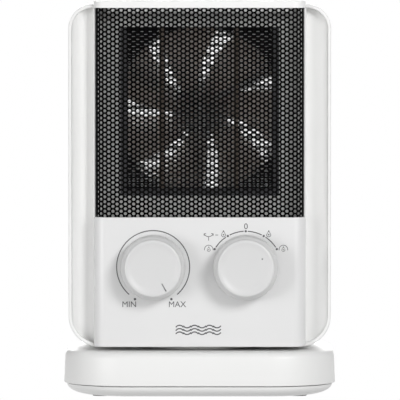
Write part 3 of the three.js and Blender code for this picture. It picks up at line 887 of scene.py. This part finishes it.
# ---------------------------------------------------------------- grille
@dataclass
class PerforatedGrille:
    """Black perforated steel sheet with 2 mm holes on a 3 mm hexagonal pitch, bent back at both sides."""

    half_x: float = 65.0
    front: float = -46.0
    root: float = -30.0
    bend: float = 6.5
    low: float = 113.3
    high: float = 244.4
    sheet: float = 0.5
    hole: float = 1.0
    pitch: float = 3.0
    first_x: float = 0.16
    first_z: float = 240.0
    hole_sides: int = 12

    @property
    def column_step(self) -> float:
        """The distance between neighbouring columns of holes."""
        return self.pitch * math.sqrt(3) / 2

    def cell(self) -> Blank:
        """Make one flat hexagonal cell round its hole."""
        blank = Blank()
        outer = self.pitch / math.sqrt(3)
        bmesh.ops.create_circle(blank.bm, segments=self.hole_sides, radius=self.hole)
        ring = bmesh.ops.create_circle(blank.bm, segments=6, radius=outer)
        bmesh.ops.rotate(blank.bm, matrix=Matrix.Rotation(math.radians(30), 3, "Z"), verts=ring["verts"])
        bmesh.ops.bridge_loops(blank.bm, edges=blank.bm.edges[:])
        return blank.turn(90, Axis.X)

    def flat_sheet(self) -> Blank:
        """Repeat the cell over the developed sheet, trim it and give it its thickness."""
        side = -self.root + self.front + self.bend
        developed = self.half_x - self.bend + self.bend * math.pi / 2 - side
        columns = math.ceil(developed / self.column_step) + 1
        rows = math.ceil((self.high - self.low) / self.pitch) + 2
        blank = self.cell()
        bm = blank.bm
        one = bm.faces[:]
        for row in range(1, rows):
            copy = bmesh.ops.duplicate(bm, geom=one)["geom"]
            verts = [g for g in copy if isinstance(g, bmesh.types.BMVert)]
            bmesh.ops.translate(bm, vec=(0, 0, -row * self.pitch), verts=verts)
        column = bm.faces[:]
        for index in range(1, 2 * columns + 1):
            copy = bmesh.ops.duplicate(bm, geom=column)["geom"]
            verts = [g for g in copy if isinstance(g, bmesh.types.BMVert)]
            drop = self.pitch / 2 if index % 2 else 0.0
            bmesh.ops.translate(bm, vec=(index * self.column_step, 0, drop), verts=verts)
        first_even = columns % 2 == 1
        z = self.first_z + self.pitch * 2 + (0.0 if first_even else self.pitch / 2)
        blank.move((self.first_x - columns * self.column_step, 0, z))
        bmesh.ops.remove_doubles(bm, verts=bm.verts[:], dist=0.02)
        trims = (
            ((0, 0, self.low), (0, 0, -1)),
            ((0, 0, self.high), (0, 0, 1)),
            ((-developed, 0, 0), (-1, 0, 0)),
            ((developed, 0, 0), (1, 0, 0)),
        )
        for place, normal in trims:
            geom = bm.verts[:] + bm.edges[:] + bm.faces[:]
            bmesh.ops.bisect_plane(bm, geom=geom, dist=1e-4, plane_co=place, plane_no=normal, clear_outer=True)
        made = bmesh.ops.extrude_face_region(bm, geom=bm.faces[:], use_keep_orig=True)
        back = [g for g in made["geom"] if isinstance(g, bmesh.types.BMVert)]
        bmesh.ops.translate(bm, vec=(0, self.sheet, 0), verts=back)
        return blank.face_outwards()

    def fold(self, blank: Blank) -> None:
        """Wrap the flat sheet's ends back round the bend radius."""
        flat = self.half_x - self.bend
        arc = self.bend * math.pi / 2
        for vert in blank.bm.verts:
            run = abs(vert.co.x) - flat
            hand = math.copysign(1.0, vert.co.x)
            depth = vert.co.y
            if run <= 0:
                vert.co.y = self.front + depth
            elif run <= arc:
                angle = run / self.bend
                radius = self.bend - depth
                vert.co.x = hand * (flat + radius * math.sin(angle))
                vert.co.y = self.front + self.bend - radius * math.cos(angle)
            else:
                vert.co.x = hand * (self.half_x - depth)
                vert.co.y = self.front + self.bend + run - arc

    def build(self) -> bpy.types.Object:
        """Build the folded, perforated sheet."""
        blank = self.flat_sheet()
        self.fold(blank)
        return dress(blank.release("perforated_grille", 40), BLACK_COAT, "black_mesh", "housing", "grille_mesh")


# ---------------------------------------------------------------- panel and its printing
def arc_point(centre: tuple[float, float], radius: float, clock_deg: float) -> tuple[float, float]:
    """Find a point on the panel by its clock angle, clockwise from straight up."""
    angle = math.radians(clock_deg)
    return (centre[0] + radius * math.sin(angle), centre[1] + radius * math.cos(angle))


@dataclass
class ControlPanel:
    """The lower front cover, rounded at both sides, with holes for two shafts. Sizes in millimetres."""

    half_x: float = 66.6
    front: float = -47.0
    root: float = -30.0
    bend: float = 8.0
    low: float = 31.7
    high: float = 113.2
    wall: float = 2.4
    dial_z: float = 82.0
    dial_x: tuple[float, float] = (-29.2, 28.9)

    def build(self) -> bpy.types.Object:
        """Build the cover as a rounded block hollowed from behind."""
        blank = Blank.block((-self.half_x, self.front, self.low), (self.half_x, self.root, self.high))
        blank.soften(blank.edges(lambda co: co.y < self.front + 1, Axis.Z), self.bend, 16)
        ends = [*blank.rim(Axis.Z, self.low), *blank.rim(Axis.Z, self.high)]
        fronts = [e for e in ends if any(v.co.y < self.root - 0.1 for v in e.verts)]
        blank.soften(fronts, 0.7, 4)
        piece = blank.face_outwards().release("control_cover")
        wall = self.wall
        inner = Blank.block(
            (-self.half_x + wall, self.front + wall, self.low + wall),
            (self.half_x - wall, self.root + 2, self.high - wall),
        )
        inner.soften(inner.edges(lambda co: co.y < self.front + wall + 1, Axis.Z), self.bend - wall, 8)
        combine(piece, inner, Join.CUT)
        combine(piece, Blank.block((-90, -38.3, 20), (90, self.root + 2, 34.2)), Join.CUT)
        for x in self.dial_x:
            combine(piece, rod(Axis.Y, (x, self.front, self.dial_z), 3.5, 12), Join.CUT)
        return dress(piece, PANEL_ABS, "white_plastic", "housing", "control_panel")


@dataclass
class PanelPrint:
    """Grey pad printing on the panel: dial scales, end words and heat symbols. Sizes in millimetres."""

    panel: ControlPanel
    proud: float = 0.05
    line: float = 0.62
    thermostat_radius: float = 22.9
    selector_radius: float = 22.5
    arc_steps: int = 90

    def place(self, blank: Blank, name: str) -> bpy.types.Object:
        """Thicken flat print and set it on the panel's face."""
        made = bmesh.ops.extrude_face_region(blank.bm, geom=blank.bm.faces[:], use_keep_orig=True)
        lifted = [g for g in made["geom"] if isinstance(g, bmesh.types.BMVert)]
        bmesh.ops.translate(blank.bm, vec=(0, -self.proud * 1.4, 0), verts=lifted)
        blank.move((0, self.panel.front + self.proud * 0.4, 0)).face_outwards()
        return dress(blank.release(name), PRINT_INK, "dark_plastic", "housing")

    def arc(self, centre: tuple[float, float], radius: float, start: float, end: float, line: float) -> Blank:
        """Sweep a line round part of a circle, between two clock angles."""
        blank = Blank()
        places = [arc_point(centre, radius + s * line / 2, start) for s in (-1, 1)]
        verts = [blank.bm.verts.new((x, 0, z)) for x, z in places]
        edge = blank.bm.edges.new(verts)
        steps = max(2, round(self.arc_steps * abs(end - start) / 360))
        bmesh.ops.spin(
            blank.bm,
            geom=[*verts, edge],
            cent=(centre[0], 0, centre[1]),
            axis=Axis.Y.unit,
            angle=math.radians(end - start),
            steps=steps,
        )
        return blank

    def dot(self, x: float, z: float, radius: float) -> Blank:
        """Make a round spot."""
        blank = Blank()
        bmesh.ops.create_circle(blank.bm, cap_ends=True, segments=20, radius=radius)
        return blank.turn(90, Axis.X).move((x, 0, z))

    def stroke(self, start: tuple[float, float], end: tuple[float, float], line: float) -> Blank:
        """Draw a straight line between two places on the panel."""
        run = Vector(end) - Vector(start)
        blank = Blank()
        bmesh.ops.create_grid(blank.bm, x_segments=1, y_segments=1, size=0.5)
        bmesh.ops.scale(blank.bm, vec=(run.length, line, 1), verts=blank.bm.verts[:])
        blank.turn(90, Axis.X)
        blank.turn(-math.degrees(math.atan2(run.y, run.x)), Axis.Y)
        return blank.move(((start[0] + end[0]) / 2, 0, (start[1] + end[1]) / 2))

    def words(self, text: str, x: float, z: float, height: float) -> Blank:
        """Set a word in plain capitals, centred on a place."""
        curve = bpy.data.curves.new("setting", "FONT")
        curve.body = text
        curve.size = height / 0.7
        curve.align_x = "CENTER"
        curve.align_y = "CENTER"
        setting = bpy.data.objects.new("setting", curve)
        bpy.context.scene.collection.objects.link(setting)
        graph = bpy.context.evaluated_depsgraph_get()
        mesh = bpy.data.meshes.new_from_object(setting.evaluated_get(graph))
        bpy.data.objects.remove(setting)
        bpy.data.curves.remove(curve)
        blank = Blank()
        blank.bm.from_mesh(mesh)
        bpy.data.meshes.remove(mesh)
        return blank.turn(90, Axis.X).move((x, 0, z))

    def flame(self, x: float, z: float, size: float) -> Blank:
        """Draw a small flame: a ring pulled up to a point, with a spot low inside."""
        blank = Blank()
        bmesh.ops.create_circle(blank.bm, segments=24, radius=size)
        bmesh.ops.create_circle(blank.bm, segments=24, radius=size * 0.76)
        bmesh.ops.bridge_loops(blank.bm, edges=blank.bm.edges[:])
        bmesh.ops.create_circle(blank.bm, cap_ends=True, segments=12, radius=size * 0.3)
        for vert in blank.bm.verts:
            if vert.co.y > 0:
                pull = vert.co.y / size
                vert.co.x *= 1 - 0.6 * pull
                vert.co.y *= 1 + 0.9 * pull
        return blank.turn(90, Axis.X).move((x, 0, z))

    def heat(self, x: float, z: float, high: bool) -> Blank:
        """Draw the heat symbol: a flame for low heat, a smaller one under an arch for high."""
        if not high:
            return self.flame(x, z - 0.7, 1.5)
        blank = self.flame(x, z - 1.0, 1.15)
        blank.take(self.arc((x, z - 0.8), 2.7, -100, 100, 0.36))
        return blank

    def thermostat_scale(self) -> None:
        """Print the open ring round the left dial, its end spots and its words."""
        centre = (self.panel.dial_x[0], self.panel.dial_z)
        blank = self.arc(centre, self.thermostat_radius, -139, 139, self.line)
        for side in Side:
            x, z = arc_point(centre, 23.2, side.value * 150.5)
            blank.take(self.dot(x, z, 0.78))
        blank.take(self.words("MIN", -44.2, 58.4, 3.6))
        blank.take(self.words("MAX", -14.1, 58.4, 3.6))
        self.place(blank, "print_thermostat_scale")

    def selector_scale(self) -> None:
        """Print the broken ring over the right dial, its five spots and the setting symbols."""
        centre = (self.panel.dial_x[1], self.panel.dial_z)
        blank = Blank()
        stops = (-60, -30, 0, 30, 60)
        for stop in stops:
            x, z = arc_point(centre, self.selector_radius, stop)
            blank.take(self.dot(x, z, 0.72))
        for first, second in zip(stops, stops[1:]):
            blank.take(self.arc(centre, self.selector_radius, first + 3.4, second - 3.4, self.line))
        blank.take(self.words("0", 29.0, 107.4, 3.6))
        for side in Side:
            blank.take(self.heat(29.1 + side.value * 14.2, 103.0, False))
            blank.take(self.heat(29.1 + side.value * 23.4, 93.8, True))
        blank.take(self.swing_symbol(5.6, 101.0))
        self.place(blank, "print_selector_scale")

    def swing_symbol(self, x: float, z: float) -> Blank:
        """Draw the swing symbol: a stem, a shallow bowl with two arrow heads, and a dash beside it."""
        blank = self.stroke((x, z - 2.4), (x, z + 0.1), 0.4)
        blank.take(self.arc((x, z + 3.4), 3.3, 125, 235, 0.4))
        for side in Side:
            tip = (x + side.value * 2.9, z + 1.9)
            blank.take(self.stroke(tip, (tip[0] - side.value * 1.3, tip[1] + 0.1), 0.4))
            blank.take(self.stroke(tip, (tip[0] - side.value * 0.1, tip[1] - 1.2), 0.4))
        blank.take(self.stroke((x + 4.2, z + 1.1), (x + 6.0, z + 1.1), 0.4))
        return blank

    def warmth_mark(self) -> None:
        """Print three level waves under the dials, the plain sign for warm air."""
        blank = Blank()
        for row in range(3):
            z = 42.5 + (row - 1) * 2.1
            for hump in range(6):
                start, end = (-58, 58) if hump % 2 == 0 else (122, 238)
                lift = -2.0 if hump % 2 == 0 else 2.0
                blank.take(self.arc((-12.6 + hump * 4.7, z + lift), 2.8, start, end, 0.75))
        self.place(blank, "print_warm_air_mark")

    def build(self) -> None:
        """Print both scales and the warm air sign."""
        self.thermostat_scale()
        self.selector_scale()
        self.warmth_mark()


# ---------------------------------------------------------------- dials
@dataclass
class Dial:
    """A turned knob with a soft shoulder, a shallow rim and a faint pointer. Sizes in millimetres."""

    name: str
    node: str
    body: str
    x: float
    pointer_deg: float
    line_pointer: bool
    z: float = 82.0
    face: float = -64.5
    back: float = -48.5

    def profile(self) -> list[tuple[float, float]]:
        """List the knob's section from the middle of its face round to the hollow behind."""
        face = self.face
        return [
            (0, face + 1.0),
            (12.6, face + 0.95),
            (14.6, face + 0.62),
            (15.8, face + 0.18),
            (16.6, face),
            (17.3, face + 0.12),
            (17.9, face + 0.6),
            (18.2, face + 1.5),
            (18.35, face + 2.3),
            (18.8, face + 2.75),
            (19.4, face + 3.4),
            (19.9, face + 4.5),
            (20.15, face + 6.0),
            (20.3, face + 8.5),
            (20.3, self.back - 0.4),
            (20.0, self.back),
            (17.9, self.back),
            (17.6, self.back - 7.5),
            (6.0, self.back - 7.5),
            (6.0, self.back - 0.2),
            (3.1, self.back - 0.2),
            (3.1, -58.2),
            (0, -58.2),
        ]

    def mark(self, front: float, back: float) -> Blank:
        """Make the pointer's shape, a short bar or a spot, between two depths."""
        if self.line_pointer:
            shape = Blank.block((-0.36, front, 10.9), (0.36, back, 16.6))
            shape.soften(shape.edges(lambda co: True, Axis.Y), 0.3, 3)
        else:
            shape = rod(Axis.Y, (0, (front + back) / 2, 11.8), 0.55, back - front, 20)
        return shape.turn(self.pointer_deg, Axis.Y).move((self.x, 0, self.z))

    def build(self) -> bpy.types.Object:
        """Turn the knob, engrave its pointer and lay grey in the bottom of the groove as painted shade."""
        blank = Blank.turned(self.profile(), Axis.Y, 96).move((self.x, 0, self.z))
        piece = blank.release(self.name, 28)
        floor = self.face + 1.45
        combine(piece, self.mark(self.face - 1, floor), Join.CUT)
        # Painted shade: a grey layer at the bottom of the engraved pointer groove, darkening the recess.
        groove_shade = self.mark(floor - 0.12, floor + 0.1).release(f"{self.name}_pointer_painted_shade")
        dress(groove_shade, POINTER_GROOVE_SHADE, "dark_plastic", self.body)
        return dress(piece, KNOB_ABS, "light_plastic", self.body, self.node)


# ---------------------------------------------------------------- heating core and fan
@dataclass
class HeatingCore:
    """Fin packs and ceramic rows held in a dark frame behind the grille. Sizes in millimetres."""

    z: float = 181.2
    half_x: float = 45.5
    half_z: float = 50.8
    edge: float = 7.0
    front: float = -27.6
    back: float = -9.0
    bar_width: float = 3.0
    bar_x: tuple[float, float] = (-25.5, 21.5)
    split_x: float = -0.5
    folds: int = 64
    strip: float = 0.2

    def frame(self) -> bpy.types.Object:
        """Build the moulded frame round the core."""
        x = self.half_x + self.edge
        z = self.half_z + self.edge
        blank = Blank.block((-x, self.front, self.z - z), (x, self.back, self.z + z))
        blank.soften(blank.edges(lambda co: True, Axis.Y), 2.0, 4)
        piece = blank.release("core_frame")
        opening = Blank.block(
            (-self.half_x, -40, self.z - self.half_z),
            (self.half_x, 0, self.z + self.half_z),
        )
        combine(piece, opening, Join.CUT)
        return dress(piece, CORE_NYLON, "dark_plastic", "housing", "heater_frame")

    def bays(self) -> list[tuple[float, float]]:
        """List the left and right limits of the four fin packs."""
        left, right = self.bar_x
        return [
            (-self.half_x, left),
            (left + self.bar_width, self.split_x),
            (self.split_x, right),
            (right + self.bar_width, self.half_x),
        ]

    def fins(self) -> None:
        """Fold a strip back and forth in each bay, with round turns at both sides."""
        for index, (left, right) in enumerate(self.bays(), start=1):
            step = (2 * self.half_z - 1) / self.folds
            radius = step / 2
            blank = Blank()
            low = self.z - self.half_z + 0.5
            path: list[tuple[float, float]] = []
            for fold in range(self.folds):
                z = low + fold * step + radius
                rightward = fold % 2 == 0
                turn_x = right - radius - 0.15 if rightward else left + radius + 0.15
                hand = 1 if rightward else -1
                path.append((left + radius + 0.15 if rightward else right - radius - 0.15, z))
                for part in range(4):
                    angle = -math.pi / 2 + math.pi * part / 4
                    if fold < self.folds - 1:
                        path.append((turn_x + hand * radius * math.cos(angle), z + radius + radius * math.sin(angle)))
            verts = [blank.bm.verts.new((x, -25.5, z)) for x, z in path]
            edges = [blank.bm.edges.new(pair) for pair in zip(verts, verts[1:])]
            made = bmesh.ops.extrude_edge_only(blank.bm, edges=edges)
            moved = [g for g in made["geom"] if isinstance(g, bmesh.types.BMVert)]
            bmesh.ops.translate(blank.bm, vec=(0, 14, 0), verts=moved)
            bmesh.ops.solidify(blank.bm, geom=blank.bm.faces[:], thickness=self.strip)
            blank.face_outwards()
            dress(blank.release(f"folded_fins_{index}", 50), FIN_STRIP, "fin_aluminium", "housing", f"fin_pack_{index}")

    def ceramic_rows(self) -> None:
        """Lay a row of fired blocks between thin strips beside the fins."""
        for index, left in enumerate(self.bar_x, start=1):
            blank = Blank()
            count = 6
            length = 2 * self.half_z / count
            for k in range(count):
                low = self.z - self.half_z + k * length
                block = Blank.block((left + 0.05, -26, low + 0.2), (left + self.bar_width - 0.05, -11, low + length - 0.2))
                block.soften(block.edges(lambda co: True), 0.25, 2)
                blank.take(block)
            dress(blank.release(f"ceramic_row_{index}"), CERAMIC, "ceramic", "housing", f"ceramic_bar_{index}")

    def build(self) -> None:
        """Build the frame, the fin packs and the ceramic rows."""
        self.frame()
        self.fins()
        self.ceramic_rows()


@dataclass
class AxialFan:
    """The fan wheel behind the core: a domed hub with wide twisted blades. Sizes in millimetres."""

    z: float = 179.5
    radius: float = 52.0
    hub: float = 13.0
    blades: int = 7
    first_gap_deg: float = 12.2
    gap_width: tuple[float, float] = (3.0, 11.5)
    sweep_deg: float = 16.5
    front: float = 0.0
    back: float = 16.0
    sheet: float = 1.2

    def blade(self, index: int) -> Blank:
        """Bend one sheet into a blade that fills the space between two gaps."""
        pitch = 360 / self.blades
        blank = Blank()
        bmesh.ops.create_grid(blank.bm, x_segments=12, y_segments=14, size=0.5)
        for vert in blank.bm.verts:
            out = vert.co.x + 0.5
            across = vert.co.y
            radius = self.hub - 0.6 + (self.radius - self.hub + 0.6) * out
            gap = self.gap_width[0] + (self.gap_width[1] - self.gap_width[0]) * out
            reach = math.radians(pitch) - gap / radius
            middle = math.radians(self.first_gap_deg + pitch * (index + 0.5) + self.sweep_deg * (out - 0.6))
            angle = middle + across * reach
            depth = (self.front + self.back) / 2 + across * (self.back - self.front - 3.5)
            vert.co = (radius * math.sin(angle), depth, radius * math.cos(angle))
        bmesh.ops.solidify(blank.bm, geom=blank.bm.faces[:], thickness=self.sheet)
        return blank.face_outwards()

    def build(self) -> bpy.types.Object:
        """Build the wheel."""
        front, back, hub = self.front, self.back, self.hub
        section = [
            (1.65, front + 0.2),
            (4.0, front),
            (9.0, front + 0.3),
            (12.0, front + 1.2),
            (hub, front + 3.0),
            (hub, back),
            (hub - 1.8, back),
            (hub - 1.8, front + 4.5),
            (4.5, front + 3.0),
            (4.5, back - 1),
            (1.65, back - 1),
        ]
        wheel = Blank.turned(section, Axis.Y, 48)
        for index in range(self.blades):
            wheel.take(self.blade(index))
        wheel.move((0, 0, self.z))
        return dress(wheel.release("fan_wheel"), FAN_PP, "amber_plastic", "fan", "impeller")


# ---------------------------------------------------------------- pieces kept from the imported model
KEPT_FINISHES: dict[str, Finish] = {
    "white_plastic": WHITE_ABS,
    "light_plastic": PALE_NYLON,
    "dark_plastic": DARK_NYLON,
    "black_mesh": BLACK_COAT,
    "foot_rubber": FOOT_RUBBER,
    "plated_steel": ZINC,
    "fin_aluminium": FIN_STRIP,
    "amber_plastic": FAN_PP,
    "ceramic": CERAMIC,
    "red_sleeve": SLEEVE,
}


def dress_kept(finish_of: dict[str, Finish]) -> None:
    """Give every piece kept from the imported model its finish.

    Args:
        finish_of: the finish by the name of the material that the piece came with.
    """
    for name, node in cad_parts.items():
        if node.type != "MESH" or node.hide_render:
            continue
        for place in node.material_slots:
            came_with = place.material.name.split(".")[0]
            place.link = "OBJECT"
            place.material = finish_of[came_with].material()
        log.info("kept %s", name)


# ---------------------------------------------------------------- studio
@dataclass
class Studio:
    """Camera, bright surround, floor and soft lights. Distances in metres."""

    aim: Point = (0.0002, -0.047, 0.1241)
    eye: Point = (0.0002, -4.047, 0.31)
    sensor_mm: float = 36.0
    frame_width: float = 0.2508
    floor_radius: float = 3.0
    ambient: float = 0.48
    overhead: float = 0.34

    def camera(self) -> None:
        """Set the camera far off with a long lens, aimed at the middle of the front."""
        data = bpy.data.cameras.new("camera")
        made = bpy.data.objects.new("camera", data)
        bpy.context.scene.collection.objects.link(made)
        look = Vector(self.aim) - Vector(self.eye)
        made.location = self.eye
        made.rotation_euler = look.to_track_quat("-Z", "Y").to_euler()
        data.sensor_width = self.sensor_mm
        data.lens = self.sensor_mm * look.length / self.frame_width
        data.clip_end = 50.0
        bpy.context.scene.camera = made

    def surround(self) -> None:
        """Light the scene from a pale surround that is itself seen as white."""
        world = bpy.data.worlds.new("surround")
        bpy.context.scene.world = world
        world.use_nodes = True
        tree = world.node_tree
        tree.nodes.clear()
        path = add_node(tree, "ShaderNodeLightPath")
        coords = add_node(tree, "ShaderNodeTexCoord")
        split = add_node(tree, "ShaderNodeSeparateXYZ", links={"Vector": coords.outputs["Generated"]})
        falling = add_node(
            tree,
            "ShaderNodeMapRange",
            {"From Min": 0.1, "From Max": 0.75, "To Min": self.ambient, "To Max": self.overhead},
            {"Value": split.outputs["Z"]},
        )
        strength = add_node(
            tree,
            "ShaderNodeMapRange",
            {"To Max": 1.0},
            {"Value": path.outputs["Is Camera Ray"], "To Min": falling.outputs["Result"]},
        )
        sky = add_node(
            tree,
            "ShaderNodeBackground",
            {"Color": (1, 1, 1, 1)},
            {"Strength": strength.outputs["Result"]},
        )
        add_node(tree, "ShaderNodeOutputWorld", links={"Surface": sky.outputs["Background"]})

    def floor(self) -> None:
        """Lay a round, pale, glowing floor under the heater, so that no shadow shows on it."""
        bm = bmesh.new()
        bmesh.ops.create_circle(bm, cap_ends=True, segments=96, radius=self.floor_radius)
        mesh = bpy.data.meshes.new("floor")
        bm.to_mesh(mesh)
        bm.free()
        made = bpy.data.objects.new("floor", mesh)
        bpy.context.scene.collection.objects.link(made)
        glow = bpy.data.materials.new("lit_white_sweep")
        glow.use_nodes = True
        tree = glow.node_tree
        tree.nodes.clear()
        lamp = add_node(tree, "ShaderNodeEmission", {"Color": (1, 1, 1, 1), "Strength": 1.0})
        add_node(tree, "ShaderNodeOutputMaterial", links={"Surface": lamp.outputs["Emission"]})
        mesh.materials.append(glow)
        made.visible_diffuse = False
        made.visible_shadow = False

    def lamp(self, name: str, place: Point, aim: Point, size: float, power: float) -> None:
        """Hang a square soft box."""
        data = bpy.data.lights.new(name, "AREA")
        data.shape = "SQUARE"
        data.size = size
        data.energy = power
        made = bpy.data.objects.new(name, data)
        bpy.context.scene.collection.objects.link(made)
        made.location = place
        made.rotation_euler = (Vector(aim) - Vector(place)).to_track_quat("-Z", "Y").to_euler()

    def build(self) -> None:
        """Set up the camera, the surround, the floor and the lights."""
        self.camera()
        self.surround()
        self.floor()
        middle = (0.0, 0.0, 0.13)
        self.lamp("key_light", (0.95, -1.65, 0.85), middle, 0.6, 20.0)
        self.lamp("fill_light", (-1.4, -1.5, 0.2), middle, 0.8, 12.0)
        self.lamp("front_light", (0.0, -2.4, 0.22), middle, 0.9, 1.0)
        self.lamp("back_light", (0.0, 1.6, 0.3), middle, 0.8, 14.0)
        bpy.context.scene.view_settings.view_transform = "Standard"


def main() -> None:
    """Build the scene from the studio inwards."""
    Studio().build()
    Base().build()
    housing = Housing()
    housing.build()
    FrontMoulding(housing).build()
    PerforatedGrille().build()
    panel = ControlPanel()
    panel.build()
    PanelPrint(panel).build()
    left, right = panel.dial_x
    Dial("left_dial", "thermostat_knob", "thermostat_dial", left, 150.0, True).build()
    Dial("right_dial", "selector_knob", "selector_dial", right, 60.0, False).build()
    HeatingCore().build()
    AxialFan().build()
    dress_kept(KEPT_FINISHES)


if __name__ == "__main__":
    main()
